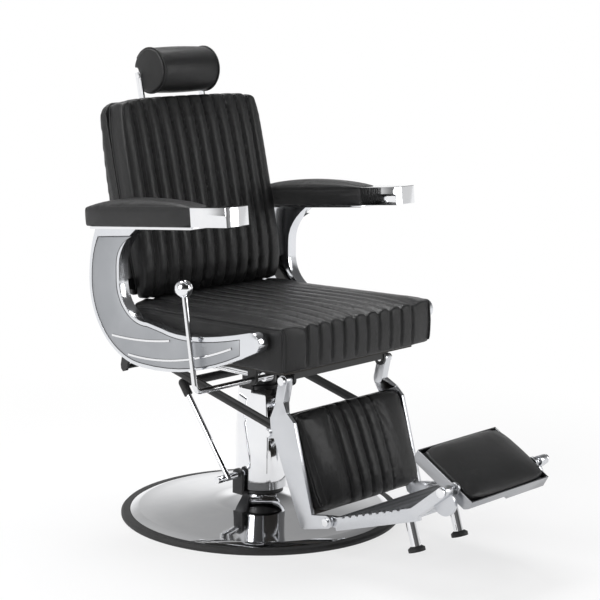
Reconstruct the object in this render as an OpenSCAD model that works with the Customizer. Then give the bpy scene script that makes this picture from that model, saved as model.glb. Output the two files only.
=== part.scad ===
// Hydraulic barber chair: swivelling and lifting column, reclining back with
// a linked leg rest, folding foot plate, flip rest and adjustable headrest.
// Millimetres, +Z up, the sitter faces -Y, the sitter's right hand is at -X,
// and the origin is on the floor at the centre of the base.

/* [Base] */
// Radius of the round base over its rubber trim ring
base_r = 350; // [300:1:400]
// Width of the rubber trim ring
trim_w = 22; // [14:1:30]
// Height of the rubber trim ring
trim_h = 13; // [9:1:18]
// Width of the sloping step inside the trim ring
step_w = 23; // [12:1:32]
// Height of the base disc at its outer edge
disc_edge_h = 20; // [16:1:28]
// Height of the base disc where the neck begins
disc_inner_h = 34; // [28:1:42]
// Radius at which the neck begins to rise from the disc
neck_foot_r = 128; // [100:1:170]
// Sheet thickness of the base
sheet_t = 3; // [2:0.5:5]

/* [Column] */
// Outer radius of the swivelling pump cylinder
pump_r = 48; // [40:1:52]
// Height of the top of the pump cylinder
pump_top = 245; // [220:1:270]
// Radius of the lifting ram
ram_r = 30; // [24:1:34]
// Travel of the lifting ram
lift_travel = 150; // [100:5:160]
// Outer radius of the column cover at its lower rim
cover_r = 64; // [60:1:72]
// Height of the lower rim of the column cover
cover_bottom = 72; // [70:1:90]
// Height of the top of the column cover
cover_top = 326; // [310:1:340]
// Distance of the front facet from the column axis at its top
cover_end = 46; // [44:1:50]
// Distance of the side facets from the column axis at their top
facet_x = 58; // [55:0.5:60]
// Height at which the flat facets end
facet_bottom = 150; // [140:1:200]

/* [Pump lever] */
// Height of the pump lever pivot
pump_pin_z = 110; // [100:1:120]
// Sideways place of the pump lever rod
pump_rod_x = 130; // [115:1:150]
// Length of the pump lever rod from pivot to handle
pump_rod_l = 260; // [220:1:290]
// Rise angle of the pump lever at rest
pump_rod_angle = 53; // [45:1:58]
// Distance of the pump lever rod from the line through its pivot
pump_rod_offset = 18; // [16:1:22]
// Length of the rubber covered handle bar
pump_handle_l = 195; // [140:1:215]
// Radius of the lever rods
rod_r = 6.5; // [5:0.5:8]
// Radius of the rubber grip
grip_r = 11; // [9:0.5:13]

/* [Seat] */
// Half width of the seat cushion at its front
seat_half_w = 276; // [262:1:277]
// Half width of the seat cushion at its rear
seat_rear_w = 265; // [245:1:265]
// Length of the seat cushion
seat_len = 514; // [480:1:516]
// Height of the seat cushion at its seam
seat_h = 104; // [80:1:115]
// Rise of the seat crown above the seam
seat_crown = 14; // [6:1:20]
// Place of the seat's lower front edge ahead of the column axis
seat_front = 329; // [312:1:340]
// Height of the seat's lower front edge
seat_z = 447; // [440:1:460]
// Backward slope of the seat
seat_tilt = 1.6; // [0:0.1:3]
// Thickness of the seat board
board_t = 12; // [9:1:15]
// Size of the square tubes of the seat frame
tube = 24; // [20:1:26]
// Distance of the frame rails from the middle
rail_x = 140; // [120:1:142]

/* [Back] */
// Half width of the back cushion
back_half_w = 243; // [220:1:250]
// Place of the back pivot behind the column axis
back_pivot_y = 170; // [165:1:180]
// Height of the back pivot
back_pivot_z = 510; // [500:1:520]
// Recline angle of the back at rest
back_tilt = 13.2; // [8:0.1:18]
// Height of the bottom of the back above its pivot
back_low = 46; // [44:1:60]
// Height of the top of the back above its pivot
back_high = 530; // [500:1:560]
// Place of the front seam ahead of the pivot line
back_front = 34.5; // [28:0.5:40]
// Place of the plane where the cushion meets the rear shell
back_split = 18; // [12:1:24]
// Depth of the rear shell behind the pivot line
back_rear = 64; // [56:1:72]
// Rise of the back crown in front of the seam
back_crown = 13; // [6:1:18]

/* [Headrest] */
// Radius of the headrest roll
roll_r = 56; // [48:1:58]
// Half width of the headrest roll
roll_half_w = 100; // [85:1:100]
// Height of the roll axis above the back pivot
roll_z = 597; // [590:1:640]
// Depth of the flat headrest bars
bar_w = 18; // [14:1:22]
// Thickness of the flat headrest bars
bar_t = 5; // [4:0.5:7]

/* [Arms] */
// Distance of the outer face of the arm from the middle
arm_outer = 332; // [325:1:345]
// Width of the armrest
arm_w = 72; // [60:1:80]
// Height of the front arm block
arm_h = 45; // [38:1:52]
// Length of the front arm block
block_l = 117; // [90:1:140]
// Length of the arm pad
pad_l = 382; // [330:1:400]
// Backward slope of the arms
arm_tilt = 5.5; // [2:0.1:8]
// Height of the lower front edge of the arm block
arm_z = 773; // [750:1:790]
// Place of the arm's front ahead of the column axis
arm_front = 207; // [190:1:230]
// Thickness of the strip under the arm pad
strip_t = 6; // [4:1:8]
// Distance of the side frame's outer face from the middle
frame_outer = 312; // [306:1:320]
// Thickness of the side frame
frame_t = 30; // [22:1:34]

/* [Leg rest] */
// Place of the leg pivot ahead of the column axis
leg_pivot_y = 247; // [235:1:260]
// Height of the leg pivot
leg_pivot_z = 407; // [400:1:412]
// Forward lean of the leg rest at rest
leg_tilt = 22; // [16:0.5:26]
// Length of the leg arms from pivot to lower end
leg_len = 337; // [320:1:350]
// Inner face of the leg arms from the middle
leg_inner = 190; // [189:1:200]
// Thickness of the leg arm plates
leg_t = 10; // [8:1:14]
// Half width of the calf cushion at its top
calf_top_w = 188; // [170:1:188]
// Half width of the calf cushion at its bottom
calf_low_w = 177; // [160:1:188]
// Distance of the calf cushion's top below the leg pivot
calf_top = 76; // [66:1:90]
// Length of the calf cushion
calf_len = 240; // [220:1:246]
// Link pin place behind the leg pivot
link_dy = 33; // [28:1:38]
// Link pin place below the leg pivot
link_dz = 128; // [120:1:132]
// Width of the flat link bars
link_w = 22; // [16:1:26]

/* [Foot plate] */
// Upward slope of the foot plate
foot_slope = 17.8; // [12:0.1:24]
// Length of the foot plate's side rails
rail_l = 270; // [250:1:285]
// Half width of the foot plate over its rails
foot_half_w = 189; // [182:1:189]
// Height of the side rails
foot_rail_h = 30; // [26:1:40]
// Distance of the posts from the middle
post_x = 79; // [60:1:110]
// Length of the posts below the plate
post_l = 91; // [60:1:96]
// Radius of the posts
post_r = 12; // [9:0.5:15]
// Half width of the flip rest
flip_half_w = 143; // [120:1:150]
// Length of the flip rest behind its axle
flip_rear = 125; // [110:1:130]
// Length of the flip rest ahead of its axle
flip_front = 52; // [45:1:60]
// Downward slope of the flip rest at rest
flip_slope = 29.8; // [20:0.1:35]
// Depth of the flip rest tray
tray_h = 29; // [22:1:32]

/* [Hidden] */

// Fits and gaps
run = 0.05;
gap = 0.4;
open_pivot = 0.8;

// Fineness of round work
fine = 96;
mid = 48;
$fn = mid;

// Colours
leather = [0.07, 0.07, 0.08];
chrome = [0.82, 0.83, 0.85];
satin = [0.66, 0.67, 0.69];
steel_black = [0.1, 0.1, 0.11];
rubber = [0.13, 0.13, 0.14];
grey = [0.38, 0.39, 0.4];

// Points on a circular arc
function arc(cy, cz, r, a0, a1, n) =
    [for (i = [0 : n]) let (a = a0 + (a1 - a0) * i / n) [cy + r * cos(a), cz + r * sin(a)]];

// Points on a three-point curve
function bend(p, q, s, n, first = 0) = [for (i = [first : n]) let (t = i / n)
    (1 - t) * (1 - t) * p + 2 * t * (1 - t) * q + t * t * s];

// Unit vector across a curve at its point i
function across(c, i) = let (d = c[min(i + 1, len(c) - 1)] - c[max(i - 1, 0)]) [-d[1], d[0]] / norm(d);
// Outline of a stripe of half width h along a curve
function stripe(c, h) = let (n = len(c) - 1) concat(
    [for (i = [0 : n]) c[i] + h * across(c, i)], [for (i = [n : -1 : 0]) c[i] - h * across(c, i)]);

// ---------------------------------------------------------------- cushions
// A cushion is a closed skin over a rounded rectangle. Its top has a crown and
// sewn channels that run along Y, its sides bulge between seam and bottom.
// cw is a list [half width at -Y end, half width at +Y end].
function soften(t) = pow(abs(t), 6);
function pad_x(s, t, cw, r) = s * (cw[0] + (cw[1] - cw[0]) * (t + 1) / 2 - 0.29 * r * soften(t) * soften(s));
function pad_y(s, t, l, r) = t * (l / 2 - 0.29 * r * soften(t) * soften(s));
function fade(t, p) = 1 - pow(abs(t), p);
// Depth of the channels at x: ribs are round, seams are sharp
function channel(x, pitch, count, depth) = count == 0 ? 0 :
    abs(x) > pitch * count / 2 + pitch * 0.01 ? 0 :
    depth * (1 - sqrt(abs(sin(180 * (x / pitch + count / 2)))));
// Columns of the grid: four to a channel and three in each plain border
function grid_s(cw, pitch, count, plain) = count == 0
    ? [for (i = [0 : plain]) -1 + 2 * i / plain]
    : let (e = pitch * count / 2 / cw)
    concat([for (i = [0 : 2]) -1 + (1 - e) * i / 3],
        [for (i = [0 : 4 * count]) -e + 2 * e * i / (4 * count)],
        [for (i = [1 : 3]) e + (1 - e) * i / 3]);

// keep holds the crown up at the far end, under curls the near end down,
// and square is the share of the corner rounding that the near end has
module cushion(cw, l, h, crown, r, pitch, count, depth, bulge, rows, plain,
    fall = 0, ends = 1, keep = 0, under = 0, square = 1) {
    s = grid_s(min(cw[0], cw[1]), pitch, count, plain);
    nx = len(s) - 1;
    ny = rows;
    t = [for (j = [0 : ny]) -cos(180 * j / ny) * 0.5 + 0.5 * (-1 + 2 * j / ny)];
    w0 = min(cw[0], cw[1]);
    // how strongly the channels show at the cushion's two ends
    function show(v) = max(0, 1 - (1 - ends) * pow(abs(v), 4));
    function corner(v) = v < 0 ? r * square : r;
    top = [for (j = [0 : ny]) for (i = [0 : nx]) [
        pad_x(s[i], t[j], cw, corner(t[j])),
        pad_y(s[i], t[j], l, corner(t[j])),
        h + crown * fade(s[i], 4) * (1 - (t[j] > 0 ? 1 - keep : 1) * pow(abs(t[j]), 4))
            + fall * (1 - t[j] * t[j]) - under * pow(max(0, -t[j]), 7)
            - channel(s[i] * w0, pitch, count, depth) * show(t[j]) * fade(s[i], 12)]];
    loop = concat([for (i = [0 : nx - 1]) i],
        [for (j = [0 : ny - 1]) j * (nx + 1) + nx],
        [for (i = [nx : -1 : 1]) ny * (nx + 1) + i],
        [for (j = [ny : -1 : 1]) j * (nx + 1)]);
    m = len(loop);
    levels = [0.84, 0.5, 0.14, 0];
    swell = [0.55, 1, 0.4, -0.3];
    sides = [for (k = [0 : 3]) for (q = loop) let (p = top[q], n = norm([p[0], p[1]]))
        [p[0] * (1 + bulge * swell[k] / n),
         p[1] * (1 + bulge * swell[k] / n),
         p[2] * levels[k]]];
    nt = len(top);
    pts = concat(top, sides, [[0, 0, 0]]);
    faces = concat(
        [for (j = [0 : ny - 1]) for (i = [0 : nx - 1]) let (a = j * (nx + 1) + i)
            [a, a + nx + 1, a + 1]],
        [for (j = [0 : ny - 1]) for (i = [0 : nx - 1]) let (a = j * (nx + 1) + i)
            [a + 1, a + nx + 1, a + nx + 2]],
        [for (q = [0 : m - 1]) [loop[q], loop[(q + 1) % m], nt + q]],
        [for (q = [0 : m - 1]) [loop[(q + 1) % m], nt + (q + 1) % m, nt + q]],
        [for (k = [0 : 2]) for (q = [0 : m - 1]) let (a = nt + k * m)
            [a + q, a + (q + 1) % m, a + m + q]],
        [for (k = [0 : 2]) for (q = [0 : m - 1]) let (a = nt + k * m)
            [a + (q + 1) % m, a + m + (q + 1) % m, a + m + q]],
        [for (q = [0 : m - 1]) [nt + 3 * m + q, nt + 3 * m + (q + 1) % m, nt + 4 * m]]);
    polyhedron(pts, faces, convexity = 6);
}

// ------------------------------------------------------------------ frames
// Sets the sloping coordinates of each assembly
module at_seat() translate([0, -seat_front, seat_z]) rotate([-seat_tilt, 0, 0]) children();
module at_back() translate([0, back_pivot_y, back_pivot_z]) rotate([-back_tilt, 0, 0]) children();
module at_leg() translate([0, -leg_pivot_y, leg_pivot_z]) rotate([-leg_tilt, 0, 0]) children();
module at_arm(side) translate([side * (arm_outer - arm_w / 2), -arm_front, arm_z])
    rotate([-arm_tilt, 0, 0]) children();

// The foot hinge in the leg rest's coordinates, and in the world's
foot_pin_y = -25.5;
foot_pin_z = -leg_len;
foot_y = -leg_pivot_y + foot_pin_y * cos(leg_tilt) + foot_pin_z * sin(leg_tilt);
foot_z = leg_pivot_z - foot_pin_y * sin(leg_tilt) + foot_pin_z * cos(leg_tilt);
module at_foot() translate([0, foot_y, foot_z]) rotate([-foot_slope, 0, 0]) children();

// The flip axle in the foot plate's coordinates, and in the world's
flip_pin_y = -(rail_l + 79);
flip_pin_z = 31;
flip_y = foot_y + flip_pin_y * cos(foot_slope) + flip_pin_z * sin(foot_slope);
flip_z = foot_z - flip_pin_y * sin(foot_slope) + flip_pin_z * cos(foot_slope);
module at_flip() translate([0, flip_y, flip_z]) rotate([flip_slope, 0, 0]) children();

// A rod along X from x0 to x1
module rod_x(x0, x1, r, n = mid) translate([min(x0, x1), 0, 0]) rotate([0, 90, 0])
    cylinder(r = r, h = abs(x1 - x0), $fn = n);

// Outline of a strap between two points, with round ends
function strap(p, q, r) = let (a = atan2(q[1] - p[1], q[0] - p[0])) concat(
    arc(q[0], q[1], r, a - 90, a + 90, 10), arc(p[0], p[1], r, a + 90, a + 270, 10));

// A plate in the YZ plane from x0 to x0 + t
module plate_yz(points, x0, t) translate([x0, 0, 0]) rotate([90, 0, 90])
    linear_extrude(height = t) polygon(points);
// A flat bar in the YZ plane between two points, with round ends
module bar_yz(p, q, w, x0, t) plate_yz(strap(p, q, w / 2), x0, t);

// -------------------------------------------------------------------- base
trim_in = base_r - trim_w;
disc_r = trim_in - step_w;
socket_r = pump_r + run + 8;
neck_top = 58;
plate_top = 6;
module base_dish() color(chrome) rotate_extrude($fn = fine) {
    outer = concat([[trim_in + 10, 2], [trim_in + 10, 4], [trim_in - 1, 4], [trim_in - 1, trim_h],
        [disc_r + 3, disc_edge_h], [disc_r, disc_edge_h]],
        bend([neck_foot_r, disc_inner_h], [socket_r + 8, disc_inner_h + 2], [socket_r, neck_top], 8));
    polygon(concat(outer, [[socket_r, disc_inner_h - 3 * sheet_t]],
        [[neck_foot_r, disc_inner_h - sheet_t], [disc_r, disc_edge_h - sheet_t],
        [trim_in - 1 - sheet_t, trim_h - sheet_t], [trim_in - 1 - sheet_t, 2]]));
}

module base_trim_ring() color(rubber) rotate_extrude($fn = fine) difference() {
    polygon([[trim_in, 0], [base_r - 2, 0], [base_r, 2], [base_r, trim_h - 5],
        [base_r - 5, trim_h], [trim_in, trim_h]]);
    translate([trim_in - 1, 2]) square([11, 2]);
}

module base_plate() color(steel_black) cylinder(r = trim_in - 1 - sheet_t - gap, h = plate_top, $fn = fine);

module base_socket() color(satin) translate([0, 0, plate_top]) difference() {
    cylinder(r = socket_r, h = neck_top - plate_top, $fn = fine);
    translate([0, 0, -1]) cylinder(r = pump_r + run, h = neck_top, $fn = fine);
}

bearing_t = 3;
module swivel_bearing() color([0.7, 0.55, 0.3]) translate([0, 0, plate_top]) difference() {
    cylinder(r = pump_r - 1, h = bearing_t, $fn = fine);
    translate([0, 0, -1]) cylinder(r = pump_r - 18, h = bearing_t + 2, $fn = fine);
}

// -------------------------------------------------------------------- pump
pump_low = plate_top + bearing_t + 0.1;
bore_low = neck_top + 4;
gland_h = 14;
module pump_cylinder() color(steel_black) difference() {
    translate([0, 0, pump_low]) cylinder(r = pump_r, h = pump_top - pump_low, $fn = fine);
    translate([0, 0, bore_low]) cylinder(r = ram_r + 6, h = pump_top, $fn = fine);
}

module pump_gland() color(satin) translate([0, 0, pump_top - gland_h]) difference() {
    cylinder(r = ram_r + 6, h = gland_h, $fn = fine);
    translate([0, 0, -1]) cylinder(r = ram_r + run, h = gland_h + 2, $fn = fine);
}

bracket_low = neck_top + 3;
bracket_t = 7;
ear_x = cover_r + 8;
pump_pin_y = 5;
pin_r = 5;
module pump_bracket() color(steel_black) difference() {
    union() {
        translate([0, 0, bracket_low]) cylinder(r = pump_r + 8, h = bracket_t, $fn = fine);
        translate([-ear_x - 8, pump_pin_y - 16, bracket_low]) cube([ear_x, 32, bracket_t]);
        translate([-ear_x - 8, pump_pin_y - 16, bracket_low])
            cube([8, 32, pump_pin_z - bracket_low]);
        translate([0, pump_pin_y, pump_pin_z]) rod_x(-ear_x - 8, -ear_x, 16);
    }
    cylinder(r = pump_r, h = 2 * pump_top, $fn = fine);
    translate([0, pump_pin_y, pump_pin_z]) rod_x(-ear_x - 9, -ear_x + 1, pin_r);
}

module pump_lever_pin() color(chrome) translate([0, pump_pin_y, pump_pin_z]) {
    rod_x(-pump_rod_x - 16, -ear_x, pin_r);
    rod_x(-pump_rod_x - 22, -pump_rod_x - 16, pin_r + 4);
    rod_x(-ear_x, -ear_x + 3, pin_r + 3);
}

// The lever's own frame: pivot at the origin, the rod along +Y
module at_pump_lever() translate([0, pump_pin_y, pump_pin_z])
    rotate([pump_rod_angle, 0, 0]) children();

lever_tube_r = 9;
lever_end = [-pump_rod_x, pump_rod_l, pump_rod_offset];
module pump_lever() color(chrome) at_pump_lever() difference() {
    union() {
        rod_x(-pump_rod_x - 15, -ear_x - 9, lever_tube_r);
        // short crank between the pivot tube and the rod
        plate_yz([[-8, 0], [8, 0], [6, pump_rod_offset], [-6, pump_rod_offset]], -pump_rod_x - 6, 12);
        translate([-pump_rod_x, -9, pump_rod_offset]) rotate([-90, 0, 0])
            cylinder(r = rod_r, h = pump_rod_l + 9);
        translate(lever_end) sphere(r = rod_r);
        translate(lever_end) rod_x(0, pump_handle_l - 8, rod_r);
    }
    rod_x(-pump_rod_x - 40, 0, pin_r + run);
}

grip_down = 34;
module pump_grip() color(rubber) at_pump_lever() difference() {
    union() {
        translate(lever_end - [0, grip_down, 0]) rotate([-90, 0, 0]) cylinder(r = grip_r, h = grip_down);
        translate(lever_end) sphere(r = grip_r);
        translate(lever_end) rod_x(0, pump_handle_l, grip_r);
    }
    translate(lever_end - [0, grip_down + 1, 0]) rotate([-90, 0, 0]) cylinder(r = rod_r, h = grip_down + 1);
    translate(lever_end) sphere(r = rod_r);
    translate(lever_end) rod_x(0, pump_handle_l - 8, rod_r);
}

// ---------------------------------------------------------------- carriage
ram_low = bore_low + 5;
head_h = 22;
module ram() color(chrome) translate([0, 0, ram_low])
    cylinder(r = ram_r, h = cover_top - ram_low, $fn = fine);

// The round cover has sloping flat facets that end in arcs lower down
facet_h = cover_top - facet_bottom;
cover_bore = 49.5;
module facet(angle, top) rotate([0, 0, angle]) translate([cover_r, -60, facet_bottom])
    rotate([0, -atan((cover_r - top) / facet_h), 0]) cube([60, 120, 2 * facet_h]);
module column_cover() color(chrome) difference() {
    translate([0, 0, cover_bottom]) cylinder(r = cover_r, h = cover_top - cover_bottom, $fn = fine);
    for (a = [0, 180]) facet(a, facet_x);
    for (a = [40, 140, 220, 320]) facet(a, facet_x - 1);
    for (a = [90, 270]) facet(a, cover_end);
    translate([0, 0, cover_bottom - 1]) cylinder(r = cover_bore, h = pump_top + 8 - cover_bottom, $fn = fine);
    cylinder(r = ram_r + 8, h = cover_top + 1, $fn = fine);
    // seams between the half shells
    for (s = [-1, 1]) translate([s * 35 - 0.6, -cover_r - 1, facet_bottom - 35])
        cube([1.2, cover_r - cover_end + 3, cover_top]);
}

frame_low = -board_t - tube;
frame_mid_z = seat_z - seat_front * sin(seat_tilt) + frame_low * cos(seat_tilt);
head_plate_t = 8;
head_half_x = 68;
head_half_y = 96;
strap_x = 50;
module mount_head() color(steel_black) difference() {
    union() {
        translate([0, 0, cover_top]) cylinder(r = cover_end - 1, h = 7, $fn = fine);
        translate([0, 0, cover_top]) cylinder(r = ram_r + 6, h = frame_mid_z - cover_top - 3, $fn = fine);
        // side straps between the cover and the head plate
        for (s = [-1, 1]) translate([s * strap_x - 4, -15, cover_top]) cube([8, 30, frame_mid_z - cover_top - 4]);
        translate([-strap_x, -12, cover_top]) cube([2 * strap_x, 24, 7]);
        at_seat() translate([-head_half_x, seat_front - head_half_y, frame_low - head_plate_t])
            cube([2 * head_half_x, 2 * head_half_y, head_plate_t]);
    }
    translate([0, 0, cover_top - 1]) cylinder(r = ram_r - 8, h = 14, $fn = fine);
}

// Places along the seat, measured back from its front edge
front_cross = seat_front - leg_pivot_y - tube / 2;
mid_cross = seat_front - 84;
arm_cross = seat_front + 48;
rail_back = arm_cross + tube;
shaft_y = -105;
shaft_z = 380;
hanger_t = 8;
leg_bar_in = leg_inner - 24;
leg_ear_x = leg_bar_in - 1;
module seat_frame() color(steel_black) difference() {
    union() {
        at_seat() {
            for (s = [-1, 1]) translate([s * rail_x - tube / 2, front_cross, frame_low])
                cube([tube, rail_back - front_cross, tube]);
            translate([-leg_ear_x, front_cross, frame_low]) cube([2 * leg_ear_x, tube, tube]);
            translate([-rail_x, mid_cross, frame_low]) cube([2 * rail_x, tube, tube]);
            translate([-(frame_outer - frame_t), arm_cross, frame_low])
                cube([2 * (frame_outer - frame_t), tube, tube]);
        }
        // ears that carry the leg pivots
        for (s = [-1, 1]) {
            translate([0, -leg_pivot_y, leg_pivot_z]) rod_x(s * leg_ear_x, s * (leg_ear_x - hanger_t), 15);
            translate([s * leg_ear_x - (s > 0 ? hanger_t : 0), -leg_pivot_y - 15, leg_pivot_z])
                cube([hanger_t, 30, seat_z + frame_low + 10 - leg_pivot_z]);
        }
        // hanger for the recline lever shaft
        translate([-rail_x - hanger_t / 2, shaft_y - 14, shaft_z])
            cube([hanger_t, 28, frame_mid_z + 8 - shaft_z]);
        translate([0, shaft_y, shaft_z]) rod_x(-rail_x - hanger_t / 2, -rail_x + hanger_t / 2, 14);
    }
    translate([0, -leg_pivot_y, leg_pivot_z]) rod_x(-leg_inner, leg_inner, 6);
    translate([0, shaft_y, shaft_z]) rod_x(-rail_x - 20, -rail_x + 20, rod_r + run);
}

board_inset = 38;
module seat_board() color([0.1, 0.1, 0.1]) at_seat() translate([-seat_rear_w + board_inset, board_inset, -board_t])
    cube([2 * (seat_rear_w - board_inset), seat_len - board_inset - 12, board_t]);

// Sewn channels of the seat
seat_pitch = 41.8;
seat_count = 9;
module seat_cushion() color(leather) at_seat() translate([0, seat_len / 2, 0])
    cushion([seat_half_w - 4, seat_rear_w - 4], seat_len - 8, seat_h, seat_crown, 30,
        seat_pitch, seat_count, 8, 4, 8, 8, keep = 0.95);

// ------------------------------------------------------------- side frames
// The cast side frame is a C: a big rear arc, a rising lower arm and a flared top
big_y = 95;
big_z = 595;
big_r = 191;
small_y = 88;
small_z = 605;
small_r = 90;
tip_y = -265;
tip_z = 516;
tip_r = 24;
// Height of the underside of the arm strip above a place y
function strip_low(y) = arm_z - strip_t / cos(arm_tilt) - (y + arm_front) * tan(arm_tilt);
top_rear = 262;
top_front = 116;
panel_front = tip_y + 36;
// The two ends of the lower arm's edges, with a margin m
function arm_top_end(m) = m == 0 ? [tip_y + tip_r * cos(80), tip_z + tip_r * sin(80)] : [panel_front, tip_z + 13 - m];
function arm_low_end(m) = m == 0 ? [tip_y + tip_r * cos(235), tip_z + tip_r * sin(235)] : [panel_front, tip_z - 43 + m];
function frame_outline(m) = concat(
    bend([top_front + 1.5 * m, strip_low(top_front) - 2 * m], [small_y + small_r + m, 690],
        [small_y + small_r + m, small_z + 35], 6),
    arc(small_y, small_z, small_r + m, 0, -95, 14),
    bend([small_y - 60, small_z - small_r - 7 - m], [-60, 486 - m], arm_top_end(m), 8),
    m == 0 ? arc(tip_y, tip_z, tip_r, 90, 225, 10) : [],
    bend(arm_low_end(m), [-75, 398 + m], [big_y, big_z - big_r + m], 8),
    arc(big_y, big_z, big_r - m, -84, 0, 16),
    bend([big_y + big_r - m, big_z + 4], [big_y + big_r - m, 664],
        [top_rear - m, strip_low(top_rear) - 2 * m], 6));

recess = 1.6;
panel_in = 10;
panel_gap = 1.2;
axle_r = 8;
module side_frame(s) color(chrome) difference() {
    plate_yz(frame_outline(0), s > 0 ? frame_outer - frame_t : -frame_outer, frame_t);
    // recess that holds the satin panel
    plate_yz(frame_outline(panel_in - panel_gap), s > 0 ? frame_outer - recess : -frame_outer - 1, recess + 1);
    translate([0, back_pivot_y, back_pivot_z]) rod_x(-frame_outer + recess - 1, frame_outer - recess + 1, axle_r);
}

// The panel carries two long raised ribs
rib_half = 2.6;
rib_h = 2.2;
module side_panel(s) color(satin) {
    plate_yz(frame_outline(panel_in), s > 0 ? frame_outer - recess : -frame_outer, recess);
    for (c = [bend([203, 468], [100, 464], [0, 483], 12), bend([145, 429], [-20, 418], [-204, 495], 16)])
        plate_yz(stripe(c, rib_half), s > 0 ? frame_outer - 0.2 : -frame_outer - rib_h, rib_h + 0.2);
}
module side_frame_right() side_frame(-1);
module side_frame_left() side_frame(1);
module side_panel_right() side_panel(-1);
module side_panel_left() side_panel(1);

spacer_y = tip_y - 6;
spacer_z = tip_z;
module frame_spacers() color(steel_black) for (s = [-1, 1])
    translate([0, spacer_y, spacer_z]) rod_x(s * (frame_outer - frame_t), s * (seat_half_w + 1.5), 15);

// -------------------------------------------------------------------- arms
strip_front = 121;
strip_l = 354;
module arm_strip(s) color(chrome) at_arm(s) translate([-arm_w / 2 + 5, strip_front, -strip_t])
    cube([arm_w - 10, strip_l, strip_t]);
module arm_block(s) color(chrome) at_arm(s) translate([-arm_w / 2, 0, 0])
    cube([arm_w, block_l, arm_h]);
module arm_pad(s) color(leather) at_arm(s) translate([0, block_l + pad_l / 2, 0])
    cushion([arm_w / 2 - 1, arm_w / 2 - 1.5], pad_l - 3, arm_h, 8, 24, 0, 0, 0, 1.2, 12, 8, 11);
module arm_strip_right() arm_strip(-1);
module arm_strip_left() arm_strip(1);
module arm_block_right() arm_block(-1);
module arm_block_left() arm_block(1);
module arm_pad_right() arm_pad(-1);
module arm_pad_left() arm_pad(1);

// Two stub axles between the side frames and the back's lever plates
lever_plate_t = 8;
lever_plate_x = seat_rear_w + 3.5;
module back_axle() color(chrome) translate([0, back_pivot_y, back_pivot_z]) for (s = [-1, 1])
    rod_x(s * lever_plate_x, s * (frame_outer - recess), axle_r);

leg_bar_t = 21;
module leg_pivot_bolts() color(chrome) translate([0, -leg_pivot_y, leg_pivot_z]) for (s = [-1, 1]) {
    rod_x(s * (leg_ear_x - hanger_t), s * (leg_bar_in + leg_bar_t + 1), 6);
    rod_x(s * (leg_bar_in + leg_bar_t + 1), s * (leg_bar_in + leg_bar_t + 8), 10);
}

// --------------------------------------------------------- recline locking
lock_x = -90;
lock_r = 12;
lock_front = -88;
lock_back = 78;
lever_y = back_pivot_y + link_dy;
lever_z = back_pivot_z - link_dz;
lock_rod_r = 5;
module lock_housing() color(satin) difference() {
    union() {
        translate([lock_x, lock_back, lever_z]) rotate([90, 0, 0])
            cylinder(r = lock_r, h = lock_back - lock_front);
        translate([lock_x - 5, -40, lever_z])
            cube([-head_half_x - lock_x + 5, 30, frame_mid_z - lever_z - 3]);
    }
    translate([lock_x, lock_back + 1, lever_z]) rotate([90, 0, 0])
        cylinder(r = lock_rod_r + run, h = lock_back - lock_front - 6);
}

slot_half = 19;
module lock_rod() color(chrome) difference() {
    union() {
        translate([lock_x, lever_y - 20, lever_z]) rotate([90, 0, 0])
            cylinder(r = lock_rod_r, h = lever_y - 20 - 22);
        translate([lock_x - 8, lever_y - 24, lever_z - slot_half - 6])
            cube([16, 40, 2 * slot_half + 12]);
    }
    translate([lock_x - 9, lever_y - cross_r - 3, lever_z - slot_half])
        cube([18, 2 * cross_r + 6, 2 * slot_half]);
}
cross_r = 6;

// The recline lever: a cross shaft under the seat, a bend and an upright rod
lever_x = 330;
ball_y = -66;
ball_z = 618;
ball_r = 21;
bend_r = 16;
lever_rise = atan2(ball_z - shaft_z, ball_y - shaft_y);
module recline_lever() color(chrome) translate([0, shaft_y, shaft_z]) rotate([lever_rise - 90, 0, 0]) {
    rod_x(-lever_x + bend_r, -80, rod_r);
    translate([-lever_x + bend_r, 0, bend_r]) rotate([90, 0, 0]) rotate([0, 0, 180])
        rotate_extrude(angle = 90, $fn = mid) translate([bend_r, 0]) circle(r = rod_r);
    translate([-lever_x, 0, bend_r])
        cylinder(r = rod_r, h = norm([ball_z - shaft_z, ball_y - shaft_y]) - bend_r - ball_r + 4);
    // cam that works the lock
    rod_x(-104, -80, 11);
}
module recline_knob() color(chrome) difference() {
    translate([-lever_x, ball_y, ball_z]) sphere(r = ball_r, $fn = mid);
    translate([0, shaft_y, shaft_z]) rotate([lever_rise - 90, 0, 0]) translate([-lever_x, 0, bend_r])
        cylinder(r = rod_r, h = norm([ball_z - shaft_z, ball_y - shaft_y]) - bend_r - ball_r + 4);
}

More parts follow.
